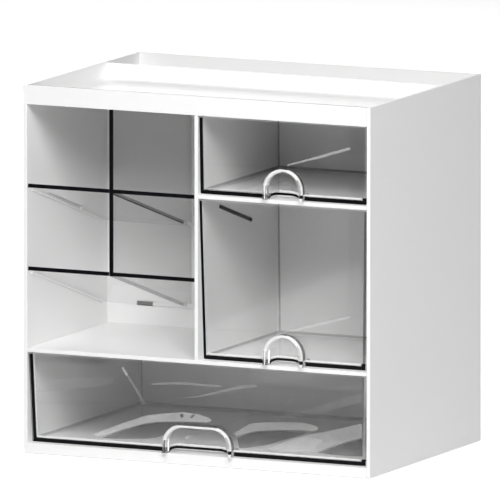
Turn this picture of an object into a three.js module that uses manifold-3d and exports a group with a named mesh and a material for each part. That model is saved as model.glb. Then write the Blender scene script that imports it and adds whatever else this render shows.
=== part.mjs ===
// Dustproof makeup organizer: a white cabinet of thin moulded panels with an open tray on top,
// two tilted clear shelves with a clear divider, and three clear drawers with arched handles.
// Millimetres. X runs to the right, Y to the back and Z up; the drawers open towards -Y.
import * as THREE from 'three';
import { mergeVertices } from 'three/addons/utils/BufferGeometryUtils.js';
import Module from 'manifold-3d';

const wasm = await Module();
wasm.setup();

// Cabinet, overall and wall sizes
const CABINET_WIDTH = 290;
const CABINET_DEPTH = 200;
const SIDE_WALL = 3;
const REAR_WALL = 3;
const PARTITION_WALL = 3;
const INNER_BACK_WALL = 2.5;
const UPPER_BAY_DEPTH = 140;

// Levels, from the ground up
const FOOT_PROUD = 0.8;
const BASE_HEIGHT = 7.7;
const BOTTOM_BAY_HEIGHT = 69.8;
const DECK_THICKNESS = 3;
const MIDDLE_BAY_HEIGHT = 123.5;
const DRAWER_SHELF_THICKNESS = 3;
const TOP_BAY_HEIGHT = 60.5;
const TRAY_RAIL_HEIGHT = 14.5;

// Base and top tray
const BASE_PLATE = 2.2;
const SKIRT_WALL = 2.5;
const TRAY_RAIL_WALL = 3;
const TRAY_FLOOR = 2;
const RIDGE_DROP = 1;

// Feet and the bosses that hold them
const FOOT_RADIUS = 7;
const FOOT_SEAT_DEPTH = 1.2;
const FOOT_EDGE = 0.4;
const FOOT_INSET = 16;
const BOSS_RADIUS = 10;
const FOOT_SIDES = 24;

// Fits: a glued or snapped seam, a loose fit, and the overrun of every cut
const SEAM = 0.1;
const FIT = 0.3;
const OVERRUN = 2;

// Tongues and grooves that lock the white panels together, stopped short of the front
const TONGUE_REACH = 1.2;
const TONGUE_STOP = 6;

// Clear shelves and divider
const SHEET = 3;
const SHELF_TILT = THREE.MathUtils.degToRad(17.6);
const SHELF_SETBACK = 0.8;
const UPPER_SHELF_HEIGHT = 124.5;
const LOWER_SHELF_HEIGHT = 61;
const SIDE_TAB_START = 39;
const SIDE_TAB_LENGTH = 61;
const SIDE_POCKET_REACH = 1.4;
const REAR_TAB_WIDTH = 13.5;
const REAR_TAB_SPREAD = 38;
const LEDGE_WIDTH = 1.1;
const LEDGE_THICKNESS = 1;
const LEDGE_END = 8;
const LEDGE_GAP = 0.2;
const LAP_SHARE = 0.94;

// Drawers: drafted clear trays on glide ribs
const TOP_DRAWER_DRAFT = THREE.MathUtils.degToRad(0.7);
const MIDDLE_DRAWER_DRAFT = THREE.MathUtils.degToRad(1.2);
const BOTTOM_DRAWER_DRAFT = THREE.MathUtils.degToRad(1.8);
const DRAWER_WALL = 2.2;
const DRAWER_CORNER = 3;
const DRAWER_EDGE = 0.8;
const DRAWER_SIDE_GAP = 0.4;
const DRAWER_FRONT_INSET = 0.3;
const DRAWER_BACK_GAP = 1.6;
const DRAWER_TOP_GAP = 0.8;
const GLIDE_HEIGHT = 0.5;
const GLIDE_WIDTH = 2.5;
const GLIDE_SETBACK = 14;
const GLIDE_GAP = 0.25;
const GLIDE_SPREAD_SHARE = 0.34;
const CORNER_STEPS = 4;

// Handles: arched ribs that stand out in front of the cabinet, over a finger notch. Both lie a
// little to the right of the drawer's middle.
const HANDLE_OVERHANG = 4.5;
const HANDLE_RIB = 3;
const HANDLE_ROUND = 1.2;
const HANDLE_OFFSET = 1.8;
const NARROW_HANDLE_WIDTH = 33;
const NARROW_HANDLE_HEIGHT = 23.8;
const WIDE_HANDLE_WIDTH = 57.5;
const WIDE_HANDLE_HEIGHT = 22.1;
const WIDE_HANDLE_RADIUS = 15.5;
const NOTCH_HEIGHT = 3.2;
const NOTCH_SHOULDER = 8.5;
const NOTCH_DEPTH = 13;
const NOTCH_SIDE_GAP = 0.8;
const ARCH_STEPS = 8;
const ROUND_STEPS = 3;

// Planes that the pieces share
const halfWidth = CABINET_WIDTH / 2;
const sideInner = halfWidth - SIDE_WALL;
const halfPartition = PARTITION_WALL / 2;
const bayWidth = sideInner - halfPartition;
const bayCentre = halfPartition + bayWidth / 2;
const front = -(CABINET_DEPTH - HANDLE_OVERHANG) / 2;
const rear = front + CABINET_DEPTH;
const rearInner = rear - REAR_WALL;
const upperBack = front + UPPER_BAY_DEPTH;
const baseTop = FOOT_PROUD + BASE_HEIGHT;
const deckBottom = baseTop + BOTTOM_BAY_HEIGHT;
const deckTop = deckBottom + DECK_THICKNESS;
const drawerShelfBottom = deckTop + MIDDLE_BAY_HEIGHT;
const drawerShelfTop = drawerShelfBottom + DRAWER_SHELF_THICKNESS;
const ceiling = drawerShelfTop + TOP_BAY_HEIGHT;
const rimTop = ceiling + TRAY_RAIL_HEIGHT;

const whitePlastic = new THREE.MeshStandardMaterial({ color: 0xf3f3f2, roughness: 0.38, metalness: 0 });
const clearPlastic = new THREE.MeshStandardMaterial({
  color: 0xe4e9ea, roughness: 0.06, metalness: 0, transparent: true, opacity: 0.35,
});
const footRubber = new THREE.MeshStandardMaterial({ color: 0xcfcfcd, roughness: 0.85, metalness: 0 });

// Geometry helpers

function outline(points) {
  return new THREE.Shape(points.map(([u, v]) => new THREE.Vector2(u, v)));
}

const AXIS_X = new THREE.Vector3(1, 0, 0);
const AXIS_Y = new THREE.Vector3(0, 1, 0);
const AXIS_Z = new THREE.Vector3(0, 0, 1);

// An outline drawn in Y and Z, extruded along X from x0 to x1
function extrudeAlongX(shape, x0, x1) {
  const solidShape = new THREE.ExtrudeGeometry(shape, { depth: x1 - x0, bevelEnabled: false });
  solidShape.applyMatrix4(new THREE.Matrix4().makeBasis(AXIS_Y, AXIS_Z, AXIS_X));
  return solidShape.translate(x0, 0, 0);
}

// An outline drawn in X and Z, extruded along Y from y0 to y1
function extrudeAlongY(shape, y0, y1, curveSegments) {
  const settings = { depth: y1 - y0, bevelEnabled: false, curveSegments };
  const solidShape = new THREE.ExtrudeGeometry(shape, settings);
  const forward = AXIS_Y.clone().negate();
  solidShape.applyMatrix4(new THREE.Matrix4().makeBasis(AXIS_X, AXIS_Z, forward));
  return solidShape.translate(0, y1, 0);
}

// An outline drawn in X and Y, extruded upwards from z0 to z1
function extrudeAlongZ(shape, z0, z1) {
  const solidShape = new THREE.ExtrudeGeometry(shape, { depth: z1 - z0, bevelEnabled: false });
  return solidShape.translate(0, 0, z0);
}

// A closed skin through rings of points, with a flat cap on the first and on the last ring
function loft(rings) {
  const count = rings[0].length;
  const index = [];
  for (let k = 1; k < count - 1; k += 1) {
    index.push(0, k + 1, k);
  }
  for (let ring = 0; ring < rings.length - 1; ring += 1) {
    for (let k = 0; k < count; k += 1) {
      const next = (k + 1) % count;
      const [a, b] = [ring * count + k, ring * count + next];
      index.push(a, b, b + count, a, b + count, a + count);
    }
  }
  const last = (rings.length - 1) * count;
  for (let k = 1; k < count - 1; k += 1) {
    index.push(last, last + k, last + k + 1);
  }
  const geometry = new THREE.BufferGeometry().setFromPoints(rings.flat());
  geometry.setIndex(index);
  return geometry;
}

// A box between two opposite corners
function block([x0, y0, z0], [x1, y1, z1]) {
  const corners = [[x0, y0], [x1, y0], [x1, y1], [x0, y1]];
  const ringAt = (z) => corners.map(([x, y]) => new THREE.Vector3(x, y, z));
  return loft([ringAt(z0), ringAt(z1)]);
}

function solid(geometry) {
  const bare = geometry.clone();
  bare.deleteAttribute('normal');
  bare.deleteAttribute('uv');
  const merged = mergeVertices(bare);
  const vertProperties = new Float32Array(merged.attributes.position.array);
  const triVerts = new Uint32Array(merged.index.array);
  return new wasm.Manifold(new wasm.Mesh({ numProp: 3, vertProperties, triVerts }));
}

function geometryOf(manifold) {
  const { vertProperties, triVerts } = manifold.getMesh();
  const geometry = new THREE.BufferGeometry();
  geometry.setAttribute('position', new THREE.BufferAttribute(vertProperties, 3));
  geometry.setIndex(new THREE.BufferAttribute(triVerts, 1));
  geometry.computeVertexNormals();
  return geometry;
}

const organizer = new THREE.Group();

function addPiece(name, geometry, material, parent = organizer) {
  const mesh = new THREE.Mesh(geometry, material);
  mesh.name = name;
  parent.add(mesh);
  return mesh;
}

// White panels lock together by tongues in grooves. An outline with a tongue on its left and right:
function tongued([u0, v0], [u1, v1]) {
  const [start, end] = [v0 + TONGUE_STOP, v1 - TONGUE_STOP];
  const side = (u, tip) => [[u, start], [tip, start], [tip, end], [u, end]];
  const reach = TONGUE_REACH + SEAM;
  return outline([
    [u0, v0], [u1, v0], ...side(u1, u1 + reach), [u1, v1], [u0, v1], ...side(u0, u0 - reach).reverse(),
  ]);
}

// The base is an inverted tray: a plate on a skirt, with a boss over each foot
function basePanel() {
  let base = solid(extrudeAlongZ(tongued([-panelEdge, front], [panelEdge, floorBack]), FOOT_PROUD, baseTop));
  base = base.subtract(solid(block(
    [-panelEdge + SKIRT_WALL, front + SKIRT_WALL, FOOT_PROUD - OVERRUN],
    [panelEdge - SKIRT_WALL, floorBack - SKIRT_WALL, baseTop - BASE_PLATE],
  )));
  const bossHeight = BASE_HEIGHT - BASE_PLATE / 2;
  for (const [x, y] of footPlaces()) {
    const boss = new THREE.CylinderGeometry(BOSS_RADIUS, BOSS_RADIUS, bossHeight, FOOT_SIDES);
    boss.rotateX(Math.PI / 2).translate(x, y, FOOT_PROUD + bossHeight / 2);
    base = base.add(solid(boss));
    const seatRadius = FOOT_RADIUS + FIT;
    const seatHeight = FOOT_SEAT_DEPTH + FIT + OVERRUN;
    const seat = new THREE.CylinderGeometry(seatRadius, seatRadius, seatHeight, FOOT_SIDES);
    seat.rotateX(Math.PI / 2).translate(x, y, FOOT_PROUD - OVERRUN + seatHeight / 2);
    base = base.subtract(solid(seat));
  }
  return base;
}

function footPlaces() {
  const x = halfWidth - FOOT_INSET;
  return [[-x, front + FOOT_INSET], [x, front + FOOT_INSET], [-x, rear - FOOT_INSET], [x, rear - FOOT_INSET]];
}

// The top tray is a floor with a rail along its front edge; its ends are cut back to two tongues
function topTray() {
  const floorTop = ceiling + TRAY_FLOOR;
  const section = outline([
    [front, ceiling], [shelfBack, ceiling], [shelfBack, floorTop],
    [front + TRAY_RAIL_WALL, floorTop], [front + TRAY_RAIL_WALL, rimTop], [front, rimTop],
  ]);
  const tip = sideInner + TONGUE_REACH;
  const ends = [[-tip - OVERRUN, -panelEdge], [panelEdge, tip + OVERRUN]];
  const stops = [
    [front - OVERRUN, front + TONGUE_STOP],
    [shelfBack - TONGUE_STOP, shelfBack + OVERRUN],
  ];
  let tray = solid(extrudeAlongX(section, -tip, tip));
  for (const [x0, x1] of ends) {
    for (const [y0, y1] of stops) {
      tray = tray.subtract(solid(block([x0, y0, ceiling - OVERRUN], [x1, y1, rimTop + OVERRUN])));
    }
  }
  return tray;
}

// The partition stands on the deck in a groove, between the front and the inner back wall
function partitionWall() {
  const [start, end, foot] = [front + TONGUE_STOP, shelfBack - TONGUE_STOP, deckTop + SEAM];
  const side = outline([
    [front, foot], [start, foot], [start, deckTop - TONGUE_REACH], [end, deckTop - TONGUE_REACH],
    [end, foot], [shelfBack, foot], [shelfBack, ceiling - SEAM], [front, ceiling - SEAM],
  ]);
  return solid(extrudeAlongX(side, -halfPartition, halfPartition));
}

const panelEdge = sideInner - SEAM;
const floorBack = rearInner - SEAM;
const shelfBack = upperBack - SEAM;
const wallFoot = deckTop + SEAM;
const ridge = rimTop - RIDGE_DROP;
const shelfLeft = halfPartition + SEAM;
const innerWallRear = upperBack + INNER_BACK_WALL;

const panels = {
  left_side_panel: solid(block([-halfWidth, front, FOOT_PROUD], [-sideInner, rear, rimTop])),
  right_side_panel: solid(block([sideInner, front, FOOT_PROUD], [halfWidth, rear, rimTop])),
  rear_panel: solid(extrudeAlongY(tongued([-panelEdge, FOOT_PROUD], [panelEdge, rimTop]), rearInner, rear)),
  base_panel: basePanel(),
  lower_deck: solid(extrudeAlongZ(tongued([-panelEdge, front], [panelEdge, floorBack]), deckBottom, deckTop)),
  inner_back_wall: solid(
    extrudeAlongY(tongued([-panelEdge, wallFoot], [panelEdge, ridge]), upperBack, innerWallRear),
  ),
  partition_wall: partitionWall(),
  drawer_shelf: solid(
    extrudeAlongZ(tongued([shelfLeft, front], [panelEdge, shelfBack]), drawerShelfBottom, drawerShelfTop),
  ),
  top_tray: topTray(),
};

// A groove is its tongue's space, a seam larger all round
function groove(name, [x0, y0, z0], [x1, y1, z1]) {
  const space = block([x0 - SEAM, y0 - SEAM, z0 - SEAM], [x1 + SEAM, y1 + SEAM, z1 + SEAM]);
  panels[name] = panels[name].subtract(solid(space));
}

function grooveSides([y0, z0], [y1, z1]) {
  groove('left_side_panel', [-sideInner - TONGUE_REACH, y0, z0], [-sideInner, y1, z1]);
  groove('right_side_panel', [sideInner, y0, z0], [sideInner + TONGUE_REACH, y1, z1]);
}

const [tongueFront, tongueBack] = [front + TONGUE_STOP, shelfBack - TONGUE_STOP];
grooveSides([tongueFront, FOOT_PROUD], [floorBack - TONGUE_STOP, baseTop]);
grooveSides([tongueFront, deckBottom], [floorBack - TONGUE_STOP, deckTop]);
grooveSides([tongueFront, ceiling], [tongueBack, ceiling + TRAY_FLOOR]);
grooveSides([rearInner, FOOT_PROUD + TONGUE_STOP], [rear, rimTop - TONGUE_STOP]);
grooveSides([upperBack, wallFoot + TONGUE_STOP], [innerWallRear, ridge - TONGUE_STOP]);
groove(
  'lower_deck',
  [-halfPartition, tongueFront, deckTop - TONGUE_REACH], [halfPartition, tongueBack, deckTop],
);
groove(
  'partition_wall',
  [halfPartition - TONGUE_REACH, tongueFront, drawerShelfBottom], [halfPartition, tongueBack, drawerShelfTop],
);
groove(
  'right_side_panel',
  [sideInner, tongueFront, drawerShelfBottom], [sideInner + TONGUE_REACH, tongueBack, drawerShelfTop],
);

// Tilted clear shelves in the left bay, drawn flat: X across, Y down the slope from the front edge
const shelfFront = front + SHELF_SETBACK;
const shelfHalf = bayWidth / 2 - FIT;
const [tiltSin, tiltCos] = [Math.sin(SHELF_TILT), Math.cos(SHELF_TILT)];
const shelfRun = upperBack - FIT - shelfFront - (SHEET / 2) * tiltSin;
const shelfLength = shelfRun / tiltCos;
const shelfHeights = {
  upper_tilted_shelf: deckTop + UPPER_SHELF_HEIGHT,
  lower_tilted_shelf: deckTop + LOWER_SHELF_HEIGHT,
};

function shelfPlace(name) {
  const place = new THREE.Matrix4().makeRotationX(-SHELF_TILT);
  return place.setPosition(-bayCentre, shelfFront, shelfHeights[name]);
}

// Ledges under the shelves' side edges, moulded on the left panel and on the partition
for (const name of Object.keys(shelfHeights)) {
  const top = -SHEET / 2 - LEDGE_GAP;
  const wall = bayWidth / 2;
  for (const [panel, side] of [['left_side_panel', -1], ['partition_wall', 1]]) {
    const [inner, outer] = [side * (wall - LEDGE_WIDTH), side * (wall + SIDE_WALL / 2)];
    const ledge = block(
      [Math.min(inner, outer), LEDGE_END, top - LEDGE_THICKNESS],
      [Math.max(inner, outer), shelfLength - LEDGE_END, top],
    );
    panels[panel] = panels[panel].add(solid(ledge.applyMatrix4(shelfPlace(name))));
  }
}

// A slot that a shelf's tab passes through or plugs into
function slotTool(name, [x0, y0], [x1, y1]) {
  const half = SHEET / 2 + FIT;
  return solid(block([x0, y0, -half], [x1, y1, half]).applyMatrix4(shelfPlace(name)));
}

// Both shelves have a long slot for the divider, open at the front. The upper one has side tabs.
const tabEnd = SIDE_TAB_START + SIDE_TAB_LENGTH;
const partitionTab = bayWidth / 2 + PARTITION_WALL - SEAM;
const pocketTab = bayWidth / 2 + SIDE_POCKET_REACH;
const lapEnd = (UPPER_BAY_DEPTH * LAP_SHARE + FIT - SHELF_SETBACK + (SHEET / 2) * tiltSin) / tiltCos;
const lapHalf = SHEET / 2 + FIT;
const slottedFront = [
  [-shelfHalf, 0], [-lapHalf, 0], [-lapHalf, lapEnd], [lapHalf, lapEnd], [lapHalf, 0], [shelfHalf, 0],
];
const upperOutline = outline([
  ...slottedFront,
  [shelfHalf, SIDE_TAB_START], [partitionTab, SIDE_TAB_START], [partitionTab, tabEnd], [shelfHalf, tabEnd],
  [shelfHalf, shelfLength], [-shelfHalf, shelfLength],
  [-shelfHalf, tabEnd], [-pocketTab, tabEnd], [-pocketTab, SIDE_TAB_START], [-shelfHalf, SIDE_TAB_START],
]);
panels.partition_wall = panels.partition_wall.subtract(slotTool(
  'upper_tilted_shelf', [shelfHalf, SIDE_TAB_START - FIT], [partitionTab + OVERRUN, tabEnd + FIT],
));
panels.left_side_panel = panels.left_side_panel.subtract(slotTool(
  'upper_tilted_shelf', [-pocketTab - FIT, SIDE_TAB_START - FIT], [-shelfHalf, tabEnd + FIT],
));

// The lower shelf has two tabs on its rear edge, through the inner back wall
const rearTabEnd = shelfLength + (FIT + INNER_BACK_WALL) / tiltCos;
const rearTabs = [REAR_TAB_SPREAD, -REAR_TAB_SPREAD];
const lowerPoints = [...slottedFront, [shelfHalf, shelfLength]];
for (const x of rearTabs) {
  const [right, left] = [x + REAR_TAB_WIDTH / 2, x - REAR_TAB_WIDTH / 2];
  lowerPoints.push([right, shelfLength], [right, rearTabEnd], [left, rearTabEnd], [left, shelfLength]);
  panels.inner_back_wall = panels.inner_back_wall.subtract(slotTool(
    'lower_tilted_shelf', [left - FIT, shelfLength - OVERRUN], [right + FIT, rearTabEnd + OVERRUN],
  ));
}
lowerPoints.push([-shelfHalf, shelfLength]);
const lowerOutline = outline(lowerPoints);

for (const [name, shape] of [['upper_tilted_shelf', upperOutline], ['lower_tilted_shelf', lowerOutline]]) {
  const shelf = addPiece(name, extrudeAlongZ(shape, -SHEET / 2, SHEET / 2), clearPlastic);
  shelf.position.set(-bayCentre, shelfFront, shelfHeights[name]);
  shelf.rotation.x = -SHELF_TILT;
}

// The divider fills the lower shelf's slot, stands on its rear end, laps over the upper shelf
// and reaches the ceiling
function shelfLine(name, y, above) {
  return shelfHeights[name] - (y - shelfFront) * Math.tan(SHELF_TILT) + above / tiltCos;
}

const dividerBack = upperBack - FIT;
const lapStart = front + UPPER_BAY_DEPTH * LAP_SHARE;
const standing = SHEET / 2 + FIT;
const dividerOutline = outline([
  [shelfFront, shelfLine('lower_tilted_shelf', shelfFront, -SHEET / 2)],
  [lapStart, shelfLine('lower_tilted_shelf', lapStart, -SHEET / 2)],
  [lapStart, shelfLine('lower_tilted_shelf', lapStart, standing)],
  [dividerBack, shelfLine('lower_tilted_shelf', dividerBack, standing)],
  [dividerBack, shelfLine('upper_tilted_shelf', dividerBack, -standing)],
  [lapStart, shelfLine('upper_tilted_shelf', lapStart, -standing)],
  [lapStart, shelfLine('upper_tilted_shelf', lapStart, standing)],
  [dividerBack, shelfLine('upper_tilted_shelf', dividerBack, standing)],
  [dividerBack, ceiling - FIT],
  [shelfFront, ceiling - FIT],
]);
const divider = addPiece('cell_divider', extrudeAlongX(dividerOutline, -SHEET / 2, SHEET / 2), clearPlastic);
divider.position.x = -bayCentre;

// Drawers. The bay is the space that the drawer fills; everything else follows from it.
const narrowHandle = {
  handleWidth: NARROW_HANDLE_WIDTH,
  handleHeight: NARROW_HANDLE_HEIGHT,
  handleRadius: NARROW_HANDLE_WIDTH / 2,
};
const wideHandle = {
  handleWidth: WIDE_HANDLE_WIDTH,
  handleHeight: WIDE_HANDLE_HEIGHT,
  handleRadius: WIDE_HANDLE_RADIUS,
};
const drawers = [
  {
    name: 'top_drawer', x: bayCentre, width: bayWidth, floor: drawerShelfTop, height: TOP_BAY_HEIGHT,
    back: upperBack, floorPanel: 'drawer_shelf', draft: TOP_DRAWER_DRAFT, ...narrowHandle,
  },
  {
    name: 'middle_drawer', x: bayCentre, width: bayWidth, floor: deckTop, height: MIDDLE_BAY_HEIGHT,
    back: upperBack, floorPanel: 'lower_deck', draft: MIDDLE_DRAWER_DRAFT, ...narrowHandle,
  },
  {
    name: 'bottom_drawer', x: 0, width: 2 * sideInner, floor: baseTop, height: BOTTOM_BAY_HEIGHT,
    back: rearInner, floorPanel: 'base_panel', draft: BOTTOM_DRAWER_DRAFT, ...wideHandle,
  },
];

// A rounded rectangle as a ring of points, counter-clockwise seen from above
function roundedRing(halfX, y0, y1, radius, z) {
  const corners = [
    [halfX - radius, y0 + radius, -Math.PI / 2], [halfX - radius, y1 - radius, 0],
    [-halfX + radius, y1 - radius, Math.PI / 2], [-halfX + radius, y0 + radius, Math.PI],
  ];
  const ring = [];
  for (const [x, y, start] of corners) {
    for (let step = 0; step <= CORNER_STEPS; step += 1) {
      const angle = start + (step / CORNER_STEPS) * (Math.PI / 2);
      ring.push(new THREE.Vector3(x + radius * Math.cos(angle), y + radius * Math.sin(angle), z));
    }
  }
  return ring;
}

// Outline of the finger notch, standing on the drawer's underside; margin grows it all round
function notchShape(width, margin, below) {
  const [half, shoulder, height] = [width / 2 + margin, NOTCH_SHOULDER + margin, NOTCH_HEIGHT + margin];
  const shape = new THREE.Shape();
  shape.moveTo(-half, -below);
  shape.lineTo(half, -below);
  shape.lineTo(half, 0);
  shape.absellipse(half - shoulder, 0, shoulder, height, 0, Math.PI / 2, false);
  shape.absellipse(-half + shoulder, 0, shoulder, height, Math.PI / 2, Math.PI, false);
  return shape;
}

// A drafted tray in its own frame: X centred, Y in the cabinet's frame, Z from its underside
function drawerTray(drawer, height) {
  const slope = Math.tan(drawer.draft);
  const topHalf = drawer.width / 2 - DRAWER_SIDE_GAP;
  const topFront = front + DRAWER_FRONT_INSET;
  const topBack = drawer.back - DRAWER_BACK_GAP;
  const ringAt = (z, inset) => {
    const draw = (height - z) * slope + inset;
    const radius = Math.max(DRAWER_CORNER - inset, DRAWER_CORNER - DRAWER_WALL);
    return roundedRing(topHalf - draw, topFront + draw, topBack - draw, radius, z);
  };
  let tray = solid(loft([
    ringAt(0, DRAWER_EDGE), ringAt(DRAWER_EDGE, 0), ringAt(height, 0),
    ringAt(height, DRAWER_WALL), ringAt(DRAWER_WALL + DRAWER_EDGE, DRAWER_WALL),
    ringAt(DRAWER_WALL, DRAWER_WALL + DRAWER_EDGE),
  ]));
  const frontFoot = topFront + height * slope;
  const notchWidth = drawer.handleWidth - 2 * (HANDLE_RIB + NOTCH_SIDE_GAP);
  const notchEnd = frontFoot + NOTCH_DEPTH;
  const hood = extrudeAlongY(
    notchShape(notchWidth, DRAWER_WALL, 0), frontFoot + DRAWER_WALL / 2, notchEnd + DRAWER_WALL, ARCH_STEPS,
  ).translate(HANDLE_OFFSET, 0, 0);
  const notch = extrudeAlongY(
    notchShape(notchWidth, 0, OVERRUN), front - OVERRUN, notchEnd, ARCH_STEPS,
  ).translate(HANDLE_OFFSET, 0, 0);
  tray = tray.add(solid(hood).trimByPlane([0, 0, 1], DRAWER_WALL / 2));
  return tray.subtract(solid(notch));
}

// An arched rib: its path runs up one leg, over the arch and down the other leg
function drawerHandle(drawer, height) {
  const slope = Math.tan(drawer.draft);
  const rim = front - HANDLE_OVERHANG;
  const wallAt = (z) => front + DRAWER_FRONT_INSET + (height - z) * slope - SEAM;
  const { handleWidth, handleHeight, handleRadius } = drawer;
  const arcX = handleWidth / 2 - handleRadius;
  const arcZ = handleHeight - handleRadius;
  const pathRadius = handleRadius - HANDLE_RIB / 2;
  const stations = [[-handleWidth / 2 + HANDLE_RIB / 2, 0, Math.PI]];
  for (const [side, from] of [[-1, Math.PI], [1, Math.PI / 2]]) {
    const skip = side > 0 && arcX === 0 ? 1 : 0;
    for (let step = skip; step <= ARCH_STEPS; step += 1) {
      const angle = from - (step / ARCH_STEPS) * (Math.PI / 2);
      stations.push([side * arcX + pathRadius * Math.cos(angle), arcZ + pathRadius * Math.sin(angle), angle]);
    }
  }
  stations.push([handleWidth / 2 - HANDLE_RIB / 2, 0, 0]);
  const half = HANDLE_RIB / 2;
  const section = [];
  for (const [centre, from] of [[half - HANDLE_ROUND, 0], [HANDLE_ROUND - half, Math.PI / 2]]) {
    for (let step = 0; step <= ROUND_STEPS; step += 1) {
      const angle = from + (step / ROUND_STEPS) * (Math.PI / 2);
      section.push([centre + HANDLE_ROUND * Math.cos(angle), HANDLE_ROUND * (1 - Math.sin(angle))]);
    }
  }
  return loft(stations.map(([x, z, angle]) => {
    const place = (out, y) => {
      const [px, pz] = [x + out * Math.cos(angle), z + out * Math.sin(angle)];
      return new THREE.Vector3(HANDLE_OFFSET + px, y === null ? wallAt(pz) : rim + y, pz);
    };
    return [place(half, null), ...section.map(([out, y]) => place(out, y)), place(-half, null)];
  }));
}

for (const drawer of drawers) {
  const lift = GLIDE_HEIGHT + GLIDE_GAP;
  const height = drawer.height - lift - DRAWER_TOP_GAP;
  const group = new THREE.Group();
  group.position.set(drawer.x, 0, drawer.floor + lift);
  addPiece(`${drawer.name}_tray`, geometryOf(drawerTray(drawer, height)), clearPlastic, group);
  addPiece(`${drawer.name}_handle`, drawerHandle(drawer, height), clearPlastic, group);
  organizer.add(group);
  for (const side of [-1, 1]) {
    const x = drawer.x + side * drawer.width * GLIDE_SPREAD_SHARE;
    const glide = block(
      [x - GLIDE_WIDTH / 2, front + GLIDE_SETBACK, drawer.floor - BASE_PLATE / 2],
      [x + GLIDE_WIDTH / 2, drawer.back - GLIDE_SETBACK, drawer.floor + GLIDE_HEIGHT],
    );
    panels[drawer.floorPanel] = panels[drawer.floorPanel].add(solid(glide));
  }
}

for (const [name, panel] of Object.entries(panels)) {
  addPiece(name, geometryOf(panel), whitePlastic);
}

// Soft round feet, pressed up into the bosses of the base
const footNames = ['foot_front_left', 'foot_front_right', 'foot_rear_left', 'foot_rear_right'];
const footTop = FOOT_PROUD + FOOT_SEAT_DEPTH;
const footProfile = [
  [0, 0], [FOOT_RADIUS - FOOT_EDGE, 0], [FOOT_RADIUS, FOOT_EDGE], [FOOT_RADIUS, footTop], [0, footTop],
].map(([radius, z]) => new THREE.Vector2(radius, z));
footPlaces().forEach(([x, y], place) => {
  const foot = addPiece(footNames[place], new THREE.LatheGeometry(footProfile, FOOT_SIDES), footRubber);
  foot.rotation.x = Math.PI / 2;
  foot.position.set(x, y, 0);
});

export default organizer;
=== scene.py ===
import math

import bmesh
import bpy
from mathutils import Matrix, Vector


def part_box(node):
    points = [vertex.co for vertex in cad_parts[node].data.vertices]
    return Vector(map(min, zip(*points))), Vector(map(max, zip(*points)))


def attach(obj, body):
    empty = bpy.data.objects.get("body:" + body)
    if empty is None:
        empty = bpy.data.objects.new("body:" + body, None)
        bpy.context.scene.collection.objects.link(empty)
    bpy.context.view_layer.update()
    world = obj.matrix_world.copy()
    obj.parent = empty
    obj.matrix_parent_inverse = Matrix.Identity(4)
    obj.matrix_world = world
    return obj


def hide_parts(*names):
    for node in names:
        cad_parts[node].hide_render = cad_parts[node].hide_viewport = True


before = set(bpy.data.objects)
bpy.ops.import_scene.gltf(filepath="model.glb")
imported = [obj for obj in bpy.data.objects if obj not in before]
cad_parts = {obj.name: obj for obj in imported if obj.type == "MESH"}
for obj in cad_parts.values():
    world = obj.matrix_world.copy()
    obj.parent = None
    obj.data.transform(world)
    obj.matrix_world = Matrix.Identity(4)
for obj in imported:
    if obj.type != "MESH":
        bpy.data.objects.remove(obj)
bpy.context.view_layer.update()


# White side panels
# The two sides are flat mouldings of white plastic, satin outside and in. The floors and walls of
# the cabinet slide into grooves in them; the left one also carries ledges for the tilted shelves.

MM = 0.001
WHITE = (0.918, 0.918, 0.916)
WHITE_SHADE = (0.903, 0.903, 0.901)
WHITE_ROUGHNESS = (0.34, 0.46)
WHITE_IOR = 1.46
PANEL_FLOW_SCALE = 9
PANEL_GRAIN_SCALE = 1400
PANEL_GRAIN_BUMP = 0.03
GRAIN_DEPTH = 0.1 * MM
PANEL_EDGE_ROUND = 0.3 * MM
EDGE_ROUND_STEPS = 3
WELD_WITHIN = 0.002 * MM
FLAT_WITHIN = math.radians(1)
SHARP_FROM = math.radians(30)
WIDE_FACE = 30 * MM * MM
LEAST_EDGE_IN_ROUNDS = 4
SEAM = 0.1 * MM
SEAM_NEAR = 0.05 * MM
SMOOTH_BELOW = math.radians(50)


def node(tree, kind, **inputs):
    """Adds a shader node and sets or links its inputs by name."""
    made = tree.nodes.new(kind)
    for name, value in inputs.items():
        socket = made.inputs[name.replace("_", " ")]
        if isinstance(value, bpy.types.NodeSocket):
            tree.links.new(value, socket)
        else:
            socket.default_value = value
    return made


def new_material(name):
    """Gives an empty material, its node tree, and the place on the object as a coordinate."""
    material = bpy.data.materials.new(name)
    material.use_nodes = True
    tree = material.node_tree
    tree.nodes.clear()
    return material, tree, tree.nodes.new("ShaderNodeTexCoord").outputs["Object"]


def noise(tree, place, scale, detail):
    made = node(tree, "ShaderNodeTexNoise", Vector=place, Scale=scale, Detail=detail)
    return made.outputs["Fac"]


def bump(tree, height, strength, depth):
    made = node(tree, "ShaderNodeBump", Height=height, Strength=strength, Distance=depth)
    return made.outputs["Normal"]


def colour_between(tree, factor, first, second):
    mix = tree.nodes.new("ShaderNodeMix")
    mix.data_type = "RGBA"
    tree.links.new(factor, mix.inputs["Factor"])
    mix.inputs["A"].default_value = (*first, 1)
    mix.inputs["B"].default_value = (*second, 1)
    return mix.outputs["Result"]


def range_of(tree, value, low, high):
    """Maps a 0 to 1 value to the range low to high."""
    made = node(tree, "ShaderNodeMapRange", Value=value, To_Min=low, To_Max=high)
    return made.outputs["Result"]


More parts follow.
